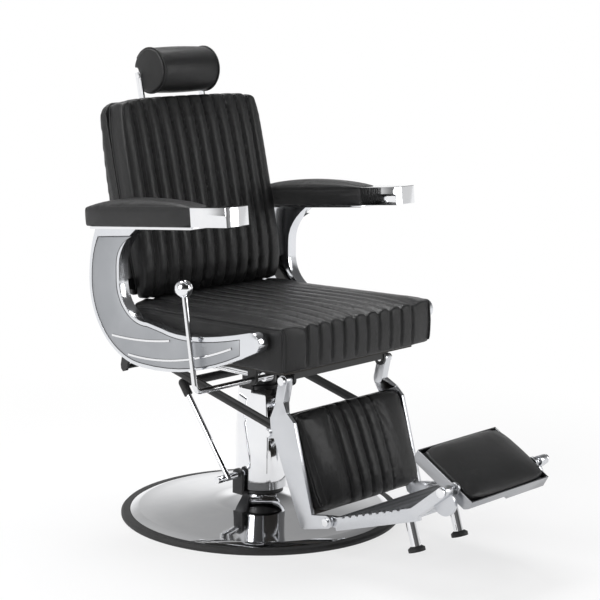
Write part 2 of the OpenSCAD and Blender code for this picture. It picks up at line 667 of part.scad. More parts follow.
// -------------------------------------------------------------------- back
upright_x = 190;
upright_t = 8;
upright_y = back_split;
upright_w = 26;
cross_bar_h = 26;
cross_bar_t = 8;
low_bar_z = back_low + 22;
pin_y = link_dy * cos(back_tilt) + link_dz * sin(back_tilt);
pin_z = link_dy * sin(back_tilt) - link_dz * cos(back_tilt);
upright_top = back_high - 70;
tab_y = upright_y + upright_w;
module back_frame() color(steel_black) at_back() difference() {
    union() {
        for (s = [-1, 1]) {
            // lever plate beside the seat
            plate_yz([[-15, 12], [-17, -6], [pin_y - 10, pin_z - 3], [pin_y - 6, pin_z - 9],
                [pin_y + 5, pin_z - 10], [pin_y + 10, pin_z - 2], [pin_y + 9, pin_z + 8], [20, -4], [22, 20],
                [tab_y, low_bar_z - 4], [tab_y, low_bar_z + cross_bar_h],
                [upright_y, low_bar_z + cross_bar_h], [upright_y, low_bar_z]],
                s > 0 ? lever_plate_x : -lever_plate_x - lever_plate_t, lever_plate_t);
            // upright inside the shell
            translate([s > 0 ? upright_x : -upright_x - upright_t, upright_y, low_bar_z])
                cube([upright_t, upright_w, upright_top - low_bar_z]);
        }
        translate([-lever_plate_x - 1, upright_y, low_bar_z])
            cube([2 * lever_plate_x + 2, cross_bar_t, cross_bar_h]);
        // cross bar behind the headrest bars
        translate([-upright_x - 1, high_bar_y, high_bar_z])
            cube([2 * upright_x + 2, high_bar_t, cross_bar_h]);
        translate([0, pin_y, pin_z]) rod_x(-lever_plate_x - lever_plate_t,
            lever_plate_x + lever_plate_t, cross_r);
    }
    rod_x(-frame_outer, frame_outer, axle_r + run);
}

// Rear shell with pockets for the frame and the headrest sleeves
pocket = gap;
sleeve_low = 395;
// The cushion's lower end curls under the shell
back_curl = 32;
shell_low = back_low + 6;
shell_corner = 34;
module back_shell() color(leather) at_back() difference() {
    intersection() {
        plate_yz(concat([[back_split, shell_low]],
            arc(back_rear - 12, shell_low + 14, 12, -90, 0, 5),
            bend([back_rear, back_low + 220], [back_rear - 4, back_high - 120],
                [back_rear - 22, back_high - 26], 6),
            arc(back_rear - 46, back_high - 24, 22, 5, 90, 6)), -back_half_w, 2 * back_half_w);
        // rounded upper corners
        translate([0, back_rear + 10, 0]) rotate([90, 0, 0]) linear_extrude(height = back_rear + 20)
            polygon(concat([[-back_half_w + 1, back_low], [back_half_w - 1, back_low]],
                arc(back_half_w - shell_corner - 1, back_high - shell_corner - 3, shell_corner, 0, 80, 8),
                arc(-back_half_w + shell_corner + 1, back_high - shell_corner - 3, shell_corner, 100, 180, 8)));
    }
    for (s = [-1, 1]) {
        translate([s > 0 ? upright_x - pocket : -upright_x - upright_t - pocket, 0, low_bar_z - pocket])
            cube([upright_t + 2 * pocket, tab_y + pocket, upright_top - low_bar_z + 2 * pocket]);
        // sleeve pockets reach the top
        translate([s * (bar_x + bar_t / 2) - 9, 0, sleeve_low - 16])
            cube([18, back_split + 26, back_high]);
    }
    translate([-back_half_w - 1, 0, low_bar_z - pocket])
        cube([2 * back_half_w + 2, upright_y + cross_bar_t + pocket, cross_bar_h + 2 * pocket]);
    translate([-upright_x - 1 - pocket, 0, high_bar_z - pocket])
        cube([2 * (upright_x + 1 + pocket), high_bar_y + high_bar_t + pocket, cross_bar_h + 2 * pocket]);
    // room for the sliding bars and their cross piece
    translate([-bar_x - bar_t - 3, 0, high_bar_z]) cube([2 * (bar_x + bar_t) + 6, back_split + 26, 210]);
}

back_pitch = 40;
back_count = 10;
module back_cushion() color(leather) at_back()
    translate([0, back_split, (back_low + back_high) / 2]) rotate([90, 0, 0])
        cushion([back_half_w - 4, back_half_w - 4], back_high - back_low - 8,
            back_front + back_split, back_crown, 40, back_pitch, back_count, 8, 4, 12, 8,
            under = back_curl, square = 0.4);

bar_x = roll_half_w + 1.6;
sleeve_t = 2;
slide = 0.1;
bar_y = back_split + 3.5;
module headrest_sleeves() color(steel_black) at_back() for (s = [-1, 1])
    translate([s * (bar_x + bar_t / 2), 0, 0]) difference() {
        union() {
            translate([-bar_t / 2 - slide - sleeve_t, bar_y - slide - sleeve_t, sleeve_low])
                cube([bar_t + 2 * (slide + sleeve_t), bar_w + 2 * (slide + sleeve_t),
                    back_high - 12 - sleeve_low]);
            // tongue that stands on the cross bar
            translate([-bar_t / 2 - slide - sleeve_t, bar_y + bar_w + slide, high_bar_z + cross_bar_h])
                cube([bar_t + 2 * (slide + sleeve_t), sleeve_t, sleeve_low + 1 - high_bar_z - cross_bar_h]);
        }
        translate([-bar_t / 2 - slide, bar_y - slide, sleeve_low - 1])
            cube([bar_t + 2 * slide, bar_w + 2 * slide, back_high]);
    }

// ---------------------------------------------------------------- headrest
tilt_y = bar_y + bar_w / 2 - 2;
tilt_z = roll_z - 6;
roll_y = -3;
screw_r = 4;
head_travel = 80;
tie_h = 16;
bars_low = sleeve_low - head_travel - tie_h - 2;
high_bar_y = bar_y + bar_w + slide;
high_bar_t = 7;
high_bar_z = bars_low - 12 - cross_bar_h;
module headrest_bars() color(chrome) at_back() difference() {
    union() {
        for (s = [-1, 1]) translate([s > 0 ? bar_x : -bar_x - bar_t, bar_y, bars_low])
            cube([bar_t, bar_w, tilt_z + 8 - bars_low]);
        translate([-bar_x, bar_y + 2, bars_low]) cube([2 * bar_x, 6, tie_h]);
    }
    translate([0, tilt_y, tilt_z]) rod_x(-bar_x - bar_t - 1, bar_x + bar_t + 1, screw_r + run);
}

module headrest_cushion() color(leather) at_back() difference() {
    translate([0, roll_y, roll_z]) rotate([0, 90, 0]) rotate([0, 0, 90]) rotate_extrude($fn = fine)
        polygon(concat([[0, -roll_half_w - 1]], [[roll_r - 12, -roll_half_w + 1]],
            arc(roll_r - 7, -roll_half_w + 8, 7, -80, -10, 4),
            [for (k = [-3 : 3]) [roll_r + 2 - 0.22 * k * k, k * (roll_half_w - 14) / 3]],
            arc(roll_r - 7, roll_half_w - 8, 7, 10, 80, 4),
            [[roll_r - 12, roll_half_w - 1], [0, roll_half_w + 1]]));
    // flat rear below the notch
    translate([-roll_half_w - 5, roll_y + 39, roll_z - 70]) cube([2 * roll_half_w + 10, 40, 86]);
    translate([0, tilt_y, tilt_z]) rod_x(-roll_half_w - 9, roll_half_w + 9, screw_r);
}

module headrest_screws() color(chrome) at_back() translate([0, tilt_y, tilt_z]) for (s = [-1, 1]) {
    rod_x(s * (roll_half_w - 30), s * (bar_x + bar_t + 0.4), screw_r);
    rod_x(s * (bar_x + bar_t + 0.4), s * (bar_x + bar_t + 3.4), screw_r + 3);
}

// ------------------------------------------------------------------- links
link_t = 6;
link_x = rail_x + tube / 2 + 4;
module link(s) color(steel_black) difference() {
    bar_yz([lever_y, lever_z], [-leg_pivot_y + link_dy, leg_pivot_z - link_dz], link_w,
        s > 0 ? link_x : -link_x - link_t, link_t);
    translate([0, lever_y, lever_z]) rod_x(-leg_inner, leg_inner, cross_r + run);
    translate([0, -leg_pivot_y + link_dy, leg_pivot_z - link_dz])
        rod_x(-leg_inner, leg_inner, pin_r + open_pivot);
}
module link_right() link(-1);
module link_left() link(1);

// ---------------------------------------------------------------- leg rest
// Link pin in the leg rest's coordinates
leg_pin_y = link_dy * cos(leg_tilt) + link_dz * sin(leg_tilt);
leg_pin_z = link_dy * sin(leg_tilt) - link_dz * cos(leg_tilt);
leg_front = -10;
leg_back = 66;
knee = [30, -44];
knee_low = -75;
shin = -101;
toe_r = 15.5;
module leg_arm(s) color(chrome) at_leg() mirror([s > 0 ? 0 : 1, 0, 0]) difference() {
    union() {
        // slim upper bar
        bar_yz([0, 0], knee, 26, leg_bar_in, leg_bar_t);
        // flared knee
        hull() {
            translate([leg_bar_in, knee[0] - 12, knee[1] - 4]) cube([leg_bar_t, 25, 3]);
            translate([leg_inner, 3, knee_low - 1]) cube([leg_t, 57, 2]);
        }
        // broad lower plate with the toe that carries the foot plate
        plate_yz(concat([[3, knee_low], [leg_front, shin], [12, -leg_len + 23]],
            [[foot_pin_y, foot_pin_z + toe_r]],
            arc(foot_pin_y, foot_pin_z, toe_r, 100, 260, 10),
            [[48, -leg_len - 4], [57, -leg_len + 6], [leg_back, shin + 5], [60, knee_low]]),
            leg_inner, leg_t);
        // ear for the link pin
        bar_yz([leg_back - 18, leg_pin_z - 8], [leg_pin_y, leg_pin_z], 22, leg_inner, leg_t);
    }
    rod_x(leg_bar_in - 1, leg_inner + 30, 6 + run);
    translate([0, foot_pin_y, foot_pin_z]) rod_x(leg_inner - 1, leg_inner + 30, pin_r);
    translate([0, leg_pin_y, leg_pin_z]) rod_x(leg_inner - 1, leg_inner + 30, pin_r);
}
module leg_arm_right() leg_arm(-1);
module leg_arm_left() leg_arm(1);

calf_h = 34;
calf_back = 10;
module calf_board() color(steel_black) at_leg() difference() {
    translate([0, calf_h + calf_back, -calf_top - calf_len]) rotate([90, 0, 0])
        linear_extrude(height = calf_back)
            polygon([[-calf_low_w, 0], [calf_low_w, 0], [calf_top_w, calf_len], [-calf_top_w, calf_len]]);
    for (z = cross_z) translate([0, calf_h + calf_back, z]) rod_x(-leg_inner, leg_inner, cross_tube_r);
}

module calf_cushion() color(leather) at_leg()
    translate([0, calf_h, -calf_top - calf_len / 2]) rotate([90, 0, 0])
        cushion([calf_low_w - 3, calf_top_w - 3], calf_len - 6, calf_h, 15, 26, 38, 4, 5, 3, 8, 8, 0, 0.3);

cross_tube_r = 9;
cross_z = [-140, -270];
module leg_cross_tube() color(chrome) at_leg() for (z = cross_z)
    translate([0, calf_h + calf_back, z]) rod_x(-leg_inner, leg_inner, cross_tube_r);

module link_pins() color(chrome) at_leg() translate([0, leg_pin_y, leg_pin_z]) for (s = [-1, 1]) {
    rod_x(s * (link_x - 1), s * (leg_inner + leg_t), pin_r);
    rod_x(s * (leg_inner + leg_t), s * (leg_inner + leg_t + 4), pin_r + 4);
    rod_x(s * (link_x - 4), s * (link_x - 1), pin_r + 3);
}

module foot_bolts() color(chrome) at_leg() translate([0, foot_pin_y, foot_pin_z]) for (s = [-1, 1]) {
    rod_x(s * (foot_half_w - 18), s * (leg_inner + leg_t), pin_r);
    rod_x(s * (leg_inner + leg_t), s * (leg_inner + leg_t + 4), pin_r + 4);
}

// -------------------------------------------------------------- foot plate
rail_t = 12;
rail_top = 6;
plate_t = 5;
plate_rear = -22;
nose_y = -rail_l + 4;
nose_r = 60;
hinge_in = flip_half_w + 22;
hinge_t = foot_half_w - hinge_in;
corner_in = 70;
corner_back = 62;
tooth_r = 5.5;
tooth_rise = 1.5;
tooth_y = -47;
tooth_pitch = 21;
tooth_n = floor((rail_l - 80) / tooth_pitch);
function plate_edge(inset) = let (w = foot_half_w - rail_t + 2 - inset, front = -rail_l + 6) concat(
    [[w, plate_rear - inset], [-w, plate_rear - inset]],
    bend([-w, -rail_l + corner_back], [-w + 4, front + 2], [-w + corner_in, front], 6),
    bend([-w + corner_in, front + inset], [0, front - 12 + inset], [w - corner_in, front + inset], 6),
    bend([w - corner_in, front], [w - 4, front + 2], [w, -rail_l + corner_back], 6));
module foot_frame() color(chrome) at_foot() difference() {
    union() {
        // side rails with rounded rear lugs
        for (s = [-1, 1]) mirror([s > 0 ? 0 : 1, 0, 0]) {
            translate([foot_half_w - rail_t, -rail_l + 4, rail_top - foot_rail_h])
                cube([rail_t, rail_l - 20, foot_rail_h]);
            bar_yz([0, 0], [-40, rail_top - foot_rail_h / 2], 24, foot_half_w - rail_t, rail_t);
            // hinge bar that carries the flip rest
            bar_yz([-rail_l + 16, -6], [flip_pin_y, flip_pin_z], 24, hinge_in, hinge_t);
            // rounded ear below the hinge bar
            translate([0, -rail_l - 58, 6]) rod_x(hinge_in - 8, hinge_in + 1, 30);
        }
        // plate under the tread
        translate([0, 0, rail_top - 4 - plate_t]) linear_extrude(height = plate_t)
            polygon(plate_edge(0));
        // front and rear ribs
        translate([-foot_half_w + 4, -rail_l + 20, rail_top - foot_rail_h + 4])
            cube([2 * foot_half_w - 8, 10, foot_rail_h - 10]);
        translate([-foot_half_w + 4, plate_rear - 14, rail_top - 24]) cube([2 * foot_half_w - 8, 10, 18]);
    }
    // scallops along the top of both rails
    for (k = [0 : tooth_n - 1])
        translate([0, tooth_y - k * tooth_pitch, rail_top + tooth_rise])
            rod_x(-foot_half_w - 1, foot_half_w + 1, tooth_r);
    rod_x(-foot_half_w - 1, foot_half_w + 1, pin_r + run);
    translate([0, flip_pin_y, flip_pin_z]) rod_x(-foot_half_w - 1, foot_half_w + 1, axle_flip_r + run);
}
axle_flip_r = 6;

rib_n = 17;
tread_h = 2.4;
module foot_tread() color(grey) at_foot() translate([0, 0, rail_top - 4]) {
    linear_extrude(height = tread_h) polygon(plate_edge(3));
    intersection() {
        linear_extrude(height = tread_h + 3) polygon(plate_edge(3));
        union() for (k = [0 : rib_n - 1])
            translate([-foot_half_w, plate_rear - 8 - k * 14, 0]) cube([2 * foot_half_w, 6, tread_h + 2.4]);
    }
}

post_y = -146;
module foot_posts() color(chrome) at_foot() for (s = [-1, 1])
    translate([s * post_x, post_y, rail_top - 4 - plate_t - post_l]) cylinder(r = post_r, h = post_l);

foot_pad_h = 13;
module foot_pads() color(rubber) at_foot() for (s = [-1, 1])
    translate([s * post_x, post_y, rail_top - 4 - plate_t - post_l - foot_pad_h]) {
        cylinder(r = post_r + 8, h = foot_pad_h - 5);
        translate([0, 0, foot_pad_h - 5]) cylinder(r1 = post_r + 8, r2 = post_r + 1, h = 5);
    }

// --------------------------------------------------------------- flip rest
tray_t = 3;
tray_top = 4;
module tray_block(x, y0, y1, z0, z1) translate([-x, -y0, z0]) cube([2 * x, y0 + y1, z1 - z0]);
module flip_tray() color(chrome) at_flip() difference() {
    union() {
        tray_block(flip_half_w, flip_front, flip_rear, tray_top - tray_h, tray_top);
        // round bosses for the axle
        rod_x(-flip_half_w - 6, flip_half_w + 6, 14);
    }
    // hollow for the cushion's base
    tray_block(flip_half_w - tray_t, flip_front - tray_t, flip_rear - tray_t, tray_top - 14, tray_top + 40);
    // sloping underside at both ends
    translate([-200, flip_rear, tray_top - tray_h]) rotate([45, 0, 0]) cube([400, 30, 14], center = true);
    translate([-200, -flip_front, tray_top - tray_h]) rotate([-45, 0, 0]) cube([400, 30, 14], center = true);
    rod_x(-flip_half_w - 30, flip_half_w + 30, axle_flip_r);
}

module flip_cushion() color(leather) at_flip() difference() {
    translate([0, (flip_rear - flip_front) / 2, tray_top - 14])
        cushion([flip_half_w - tray_t - 2, flip_half_w - tray_t - 2], flip_front + flip_rear - 2 * tray_t - 4,
            18, 12, 26, 0, 0, 0, 1, 10, 8, 3);
    rod_x(-flip_half_w - 30, flip_half_w + 30, axle_flip_r);
}

module flip_axle() color(chrome) at_flip() {
    rod_x(-foot_half_w - 2, foot_half_w + 2, axle_flip_r);
    for (s = [-1, 1]) rod_x(s * (foot_half_w + 2), s * (foot_half_w + 7), axle_flip_r + 5);
}

// ------------------------------------------------------------------- output
base_plate();
base_dish();
base_trim_ring();
base_socket();
swivel_bearing();
pump_cylinder();
pump_gland();
pump_bracket();
pump_lever_pin();
pump_lever();
pump_grip();
ram();
column_cover();
mount_head();
seat_frame();
seat_board();
seat_cushion();
side_frame_right();
side_frame_left();
side_panel_right();
side_panel_left();
frame_spacers();
arm_strip_right();
arm_strip_left();
arm_block_right();
arm_block_left();
arm_pad_right();
arm_pad_left();
back_axle();
leg_pivot_bolts();
lock_housing();
lock_rod();
recline_lever();
recline_knob();
back_frame();
back_shell();
back_cushion();
headrest_sleeves();
headrest_bars();
headrest_cushion();
headrest_screws();
link_right();
link_left();
leg_arm_right();
leg_arm_left();
calf_board();
calf_cushion();
leg_cross_tube();
link_pins();
foot_bolts();
foot_frame();
foot_tread();
foot_posts();
foot_pads();
flip_tray();
flip_cushion();
flip_axle();
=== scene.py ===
import math

import bmesh
import bpy
import numpy as np
from mathutils import Matrix, Vector
from mathutils.bvhtree import BVHTree


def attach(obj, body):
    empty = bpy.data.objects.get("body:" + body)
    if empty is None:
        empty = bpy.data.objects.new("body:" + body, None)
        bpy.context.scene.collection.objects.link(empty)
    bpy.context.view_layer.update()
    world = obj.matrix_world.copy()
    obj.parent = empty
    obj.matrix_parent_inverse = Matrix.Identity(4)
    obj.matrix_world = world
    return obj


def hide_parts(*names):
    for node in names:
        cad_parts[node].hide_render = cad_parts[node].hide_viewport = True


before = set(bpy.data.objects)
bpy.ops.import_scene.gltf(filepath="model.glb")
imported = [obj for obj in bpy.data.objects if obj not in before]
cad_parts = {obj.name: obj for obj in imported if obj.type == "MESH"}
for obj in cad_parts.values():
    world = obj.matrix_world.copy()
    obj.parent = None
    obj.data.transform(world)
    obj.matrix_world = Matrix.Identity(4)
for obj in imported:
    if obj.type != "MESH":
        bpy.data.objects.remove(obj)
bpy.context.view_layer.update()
scene = bpy.context.scene


# ---------------------------------------------------------------- shader maths
class Wire:
    """A shader socket that can be added, multiplied and divided like a number."""

    def __init__(self, finish, socket):
        self.finish = finish
        self.socket = socket

    def maths(self, operation, *others):
        node = self.finish.add("ShaderNodeMath", {"operation": operation}, [self, *others])
        return node[0]

    def __add__(self, other): return self.maths("ADD", other)
    def __radd__(self, other): return self.maths("ADD", other)
    def __sub__(self, other): return self.maths("SUBTRACT", other)
    def __rsub__(self, other): return self.finish.number(other).maths("SUBTRACT", self)
    def __mul__(self, other): return self.maths("MULTIPLY", other)
    def __truediv__(self, other): return self.maths("DIVIDE", other)
    def __pow__(self, other): return self.maths("POWER", other)
    def __abs__(self): return self.maths("ABSOLUTE")

    def sine(self): return self.maths("SINE")
    def clamp(self): return self.finish.add("ShaderNodeClamp", {}, [self])[0]

    def between(self, low, high):
        """Rises smoothly from 0 at low to 1 at high."""
        return self.finish.add("ShaderNodeMapRange", {"interpolation_type": "SMOOTHSTEP"},
                               {"Value": self, "From Min": low, "From Max": high})[0]


class Finish:
    """One material: nodes are added by type, settings and socket values."""

    def __init__(self, name):
        self.material = bpy.data.materials.new(name)
        self.material.use_nodes = True
        self.tree = self.material.node_tree
        self.shader = self.tree.nodes["Principled BSDF"]
        self.place = self.add("ShaderNodeTexCoord", {}, {}, "Object")

    def add(self, kind, settings, values, output=None):
        node = self.tree.nodes.new(kind)
        for key, value in settings.items():
            setattr(node, key, value)
        pairs = values.items() if isinstance(values, dict) else enumerate(values)
        for key, value in pairs:
            if isinstance(value, Wire):
                self.tree.links.new(value.socket, node.inputs[key])
            else:
                node.inputs[key].default_value = value
        if output is not None:
            return Wire(self, node.outputs[output])
        return [Wire(self, s) for s in node.outputs]

    def number(self, value):
        node = self.tree.nodes.new("ShaderNodeValue")
        node.outputs[0].default_value = value
        return Wire(self, node.outputs[0])

    def ramp(self, factor, stops):
        node = self.tree.nodes.new("ShaderNodeValToRGB")
        elements = node.color_ramp.elements
        while len(elements) < len(stops):
            elements.new(0.5)
        for element, (at, colour) in zip(elements, stops):
            element.position = at
            element.color = (*colour, 1)
        self.tree.links.new(factor.socket, node.inputs[0])
        return Wire(self, node.outputs[0])

    def noise(self, scale, detail=3.0, rough=0.5, where=None):
        return self.add("ShaderNodeTexNoise", {}, {"Vector": where or self.place, "Scale": scale,
                        "Detail": detail, "Roughness": rough}, 0)

    def cells(self, scale):
        return self.add("ShaderNodeTexVoronoi", {"feature": "DISTANCE_TO_EDGE"},
                        {"Vector": self.place, "Scale": scale}, 0)

    def parts(self):
        """The place of the surface as three wires, x, y and z."""
        return self.add("ShaderNodeSeparateXYZ", {}, [self.place])

    def turned(self, origin, slope):
        """The piece's own straight coordinates, x, y and z, out of its sloping place."""
        moved = self.add("ShaderNodeVectorMath", {"operation": "SUBTRACT"},
                         [self.place, origin], 0)
        straight = self.add("ShaderNodeVectorRotate", {"rotation_type": "X_AXIS"},
                            {"Vector": moved, "Angle": math.radians(slope)}, 0)
        return self.add("ShaderNodeSeparateXYZ", {}, [straight])

    def bump(self, height, depth, strength=1.0):
        wire = self.add("ShaderNodeBump", {}, {"Height": height, "Distance": depth,
                        "Strength": strength}, 0)
        self.tree.links.new(wire.socket, self.shader.inputs["Normal"])

    def set(self, **sockets):
        for key, value in sockets.items():
            socket = self.shader.inputs[key.replace("_", " ")]
            if isinstance(value, Wire):
                self.tree.links.new(value.socket, socket)
            else:
                socket.default_value = value
        return self.material


def leather_finish(name, tone=0.0062, sheen=0.27, crease=1.0):
    f = Finish(name)
    pebble = f.cells(620)
    fold = f.noise(38, 4.0, 0.55)
    cloudy = f.noise(9, 2.0)
    colour = f.ramp(cloudy, [(0.3, (tone * 0.8, tone * 0.8, tone * 0.86)),
                             (0.7, (tone * 1.25, tone * 1.25, tone * 1.38))])
    f.bump(pebble.between(0.0, 0.09) * 0.35 + fold * 2.2 * crease, 0.0006)
    return f.set(Base_Color=colour, Roughness=sheen + f.noise(75, 3.0) * 0.12,
                 Specular_IOR_Level=0.42)


def chrome_finish(name, tone=0.88, rough=0.04):
    f = Finish(name)
    haze = f.noise(26, 3.0, 0.6)
    wear = f.noise(240, 2.0)
    colour = f.ramp(haze, [(0.3, (tone, tone * 1.005, tone * 1.02)),
                           (0.75, (tone * 0.95, tone * 0.96, tone * 0.985))])
    f.bump(wear, 0.00002, 0.5)
    return f.set(Base_Color=colour, Metallic=1.0, Roughness=rough + haze * 0.035)


def satin_finish(name, tone=0.60, rough=0.36, grain=0.00008):
    f = Finish(name)
    sand = f.noise(1500, 2.0)
    haze = f.noise(14, 3.0)
    colour = f.ramp(haze, [(0.3, (tone, tone * 1.015, tone * 1.05)),
                           (0.7, (tone * 0.93, tone * 0.95, tone * 0.99))])
    f.bump(sand, grain)
    return f.set(Base_Color=colour, Metallic=1.0, Roughness=rough + sand * 0.08)


def panel_finish(name, face):
    """Satin paint with polished ribs, which stand out past the face, so far from the middle."""
    f = Finish(name)
    rib = abs(f.parts()[0]).between(face + 0.0006, face + 0.0012)
    sand = f.noise(1500, 2.0)
    haze = f.noise(14, 3.0)
    paint = f.ramp(haze, [(0.3, (0.42, 0.43, 0.45)), (0.7, (0.38, 0.392, 0.412))])
    # The mix node's colour sockets are its inputs 6 and 7, and its output 2.
    polish = (0.86, 0.865, 0.88, 1)
    colour = f.add("ShaderNodeMix", {"data_type": "RGBA"}, {0: rib, 6: paint, 7: polish}, 2)
    f.bump(sand * (1 - rib), 0.00008)
    return f.set(Base_Color=colour, Metallic=1.0, Roughness=0.1 + (1 - rib) * (0.3 + sand * 0.08))


def enamel_finish(name, tone=0.014, rough=0.3):
    f = Finish(name)
    peel = f.noise(310, 2.0)
    dust = f.noise(20, 4.0, 0.7)
    colour = f.ramp(dust, [(0.4, (tone, tone, tone)), (0.8, (tone * 1.7, tone * 1.7, tone * 1.8))])
    f.bump(peel, 0.00012)
    return f.set(Base_Color=colour, Roughness=rough + dust * 0.15)


def rubber_finish(name, tone=0.018, rough=0.55):
    f = Finish(name)
    grit = f.noise(900, 3.0)
    scuff = f.noise(30, 4.0, 0.7)
    colour = f.ramp(scuff, [(0.35, (tone, tone, tone)),
                            (0.85, (tone * 2.2, tone * 2.2, tone * 2.3))])
    f.bump(grit, 0.0001)
    return f.set(Base_Color=colour, Roughness=rough + scuff * 0.2)


def ply_finish(name):
    f = Finish(name)
    along = f.add("ShaderNodeVectorMath", {"operation": "MULTIPLY"}, [f.place, (0.15, 1, 1)], 0)
    streak = f.noise(60, 3.0, 0.6, along)
    layers = (f.parts()[2] * 2100 + streak).sine()
    colour = f.ramp(streak * 0.6 + layers * 0.2, [(0.1, (0.02, 0.017, 0.014)),
                                                  (0.8, (0.055, 0.046, 0.036))])
    f.bump(streak, 0.0002)
    return f.set(Base_Color=colour, Roughness=0.6 + streak * 0.15)


def bronze_finish(name):
    f = Finish(name)
    tarnish = f.noise(45, 4.0, 0.6)
    colour = f.ramp(tarnish, [(0.3, (0.5, 0.36, 0.16)), (0.8, (0.3, 0.2, 0.09))])
    f.bump(f.noise(500), 0.00005)
    return f.set(Base_Color=colour, Metallic=1.0, Roughness=0.25 + tarnish * 0.25)


TREAD_PITCH = 0.0125


def tread_finish(name, place):
    f = Finish(name)
    x, y, _ = f.turned(tuple(place.origin), place.slope)
    ridges = (abs((x * 2 * math.pi / TREAD_PITCH).sine())
              * abs((y * 2 * math.pi / TREAD_PITCH).sine()))
    wear = f.noise(35, 4.0, 0.65)
    # The colour follows the ridge height: painted shade darkens the hollows and painted highlight
    # lightens the ridge tops; the wear noise adds uneven tone.
    colour = f.ramp(ridges * 0.75 + wear * 0.3, [(0.1, (0.045, 0.046, 0.05)),
                                                 (0.55, (0.15, 0.155, 0.165)),
                                                 (0.9, (0.30, 0.31, 0.33))])
    f.bump(ridges, 0.0015)
    return f.set(Base_Color=colour, Roughness=0.42 + wear * 0.15)


leather = leather_finish("black_leather")
soft_leather = leather_finish("arm_leather", 0.0068, 0.31, 0.6)
chrome = chrome_finish("polished_chrome")
steel = chrome_finish("polished_steel", 0.84, 0.09)
cast = satin_finish("polished_casting", 0.78, 0.11, 0.00001)
silver = satin_finish("brushed_casting", 0.66, 0.24, 0.00003)
PANEL_FACE = 0.312
satin = panel_finish("satin_panel", PANEL_FACE)
tray_metal = satin_finish("tray_metal", 0.40, 0.26, 0.00003)
enamel = enamel_finish("black_enamel")
rubber = rubber_finish("black_rubber")
thread = rubber_finish("seam_thread", 0.045, 0.4)
welt = leather_finish("welt_leather", 0.008, 0.25, 0.2)
ply = ply_finish("dark_plywood")
bronze = bronze_finish("bearing_bronze")


# ------------------------------------------------------------ sloping places
class Place:
    """The straight coordinates of an assembly that leans by slope about X."""

    def __init__(self, origin, slope):
        self.origin = np.array(origin, float)
        self.slope = slope
        a = math.radians(slope)
        self.turn = np.array([[1, 0, 0],
                              [0, math.cos(a), math.sin(a)],
                              [0, -math.sin(a), math.cos(a)]])

    def out(self, points):
        return np.asarray(points, float) @ self.turn.T + self.origin

    def into(self, points):
        return (np.asarray(points, float) - self.origin) @ self.turn


seat_place = Place((0, -0.329, 0.447), 1.6)
back_place = Place((0, 0.170, 0.510), 13.2)
leg_place = Place((0, -0.247, 0.407), 22)
foot_place = Place((0, -0.39689, 0.10409), 17.8)
flip_place = Place((0, -0.71970, 0.24030), -29.8)
arm_places = {"right": Place((-0.296, -0.207, 0.773), 5.5),
              "left": Place((0.296, -0.207, 0.773), 5.5)}


# --------------------------------------------------------------- mesh helpers
def rest_all():
    bpy.ops.object.select_all(action="DESELECT")


def only(obj):
    rest_all()
    obj.select_set(True)
    bpy.context.view_layer.objects.active = obj


def coords(obj):
    data = np.zeros(len(obj.data.vertices) * 3)
    obj.data.vertices.foreach_get("co", data)
    return data.reshape(-1, 3)


def normals(obj):
    data = np.zeros(len(obj.data.vertices) * 3)
    obj.data.vertex_normals.foreach_get("vector", data)
    return data.reshape(-1, 3)


def put(obj, points):
    obj.data.vertices.foreach_set("co", np.ascontiguousarray(points, np.float64).ravel())
    obj.data.update()


def finish_piece(obj, material, body):
    obj.data.materials.clear()
    obj.data.materials.append(material)
    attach(obj, body)
    return obj


def settle(obj):
    """Puts the object's place into its mesh."""
    only(obj)
    bpy.ops.object.transform_apply(location=True, rotation=True, scale=True)
    return obj


def apply_all(obj):
    only(obj)
    for m in list(obj.modifiers):
        bpy.ops.object.modifier_apply(modifier=m.name)
    return obj


def copy_of_node(node, name):
    obj = bpy.data.objects.new(name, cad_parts[node].data.copy())
    scene.collection.objects.link(obj)
    only(obj)
    bpy.ops.object.mode_set(mode="EDIT")
    bpy.ops.mesh.select_all(action="SELECT")
    bpy.ops.mesh.remove_doubles(threshold=0.00002)
    bpy.ops.object.mode_set(mode="OBJECT")
    return obj


# ------------------------------------------------------------------ cushions
SMOOTH_ROUNDS = 6
CLOTH_FRAMES = 20
AIR_PRESSURE = 4
CLOTH_QUALITY = 4


def stuffed(name, node, place, voxel, swell, held):
    """A copy of the cushion, remeshed and blown up like filled upholstery.

    held gives each point's hold, 0 to 1, from its straight coordinates and normal.
    """
    obj = copy_of_node(node, name)
    only(obj)
    obj.data.remesh_voxel_size = voxel
    obj.data.use_remesh_preserve_volume = True
    bpy.ops.object.voxel_remesh()
    m = obj.modifiers.new("even", "SMOOTH")
    m.factor = 0.5
    m.iterations = SMOOTH_ROUNDS
    apply_all(obj)
    start = coords(obj)
    local = place.into(start)
    group = obj.vertex_groups.new(name="held")
    weights = held(local, normals(obj) @ place.turn)
    for w in (0.3, 0.6, 1.0):
        chosen = np.nonzero((weights > w - 0.15) & (weights <= w + 0.2))[0]
        group.add(chosen.tolist(), w, "REPLACE")
    m = obj.modifiers.new("filling", "CLOTH")
    m.settings.quality = CLOTH_QUALITY
    m.settings.use_pressure = True
    m.settings.uniform_pressure_force = AIR_PRESSURE
    m.settings.vertex_group_mass = "held"
    m.settings.effector_weights.gravity = 0
    m.collision_settings.use_collision = False
    m.point_cache.frame_start = 1
    m.point_cache.frame_end = CLOTH_FRAMES
    for step in range(1, CLOTH_FRAMES + 1):
        scene.frame_set(step)
    blown = obj.evaluated_get(bpy.context.evaluated_depsgraph_get())
    after = np.zeros(len(start) * 3)
    blown.data.vertices.foreach_get("co", after)
    move = after.reshape(-1, 3) - start
    size = np.linalg.norm(move, axis=1, keepdims=True) + 1e-9
    limit = swell * np.tanh(size / swell)
    obj.modifiers.remove(m)
    scene.frame_set(1)
    put(obj, start + move / size * limit)
    m = obj.modifiers.new("round", "SUBSURF")
    m.levels = m.render_levels = 1
    apply_all(obj)
    for face in obj.data.polygons:
        face.use_smooth = True
    return obj


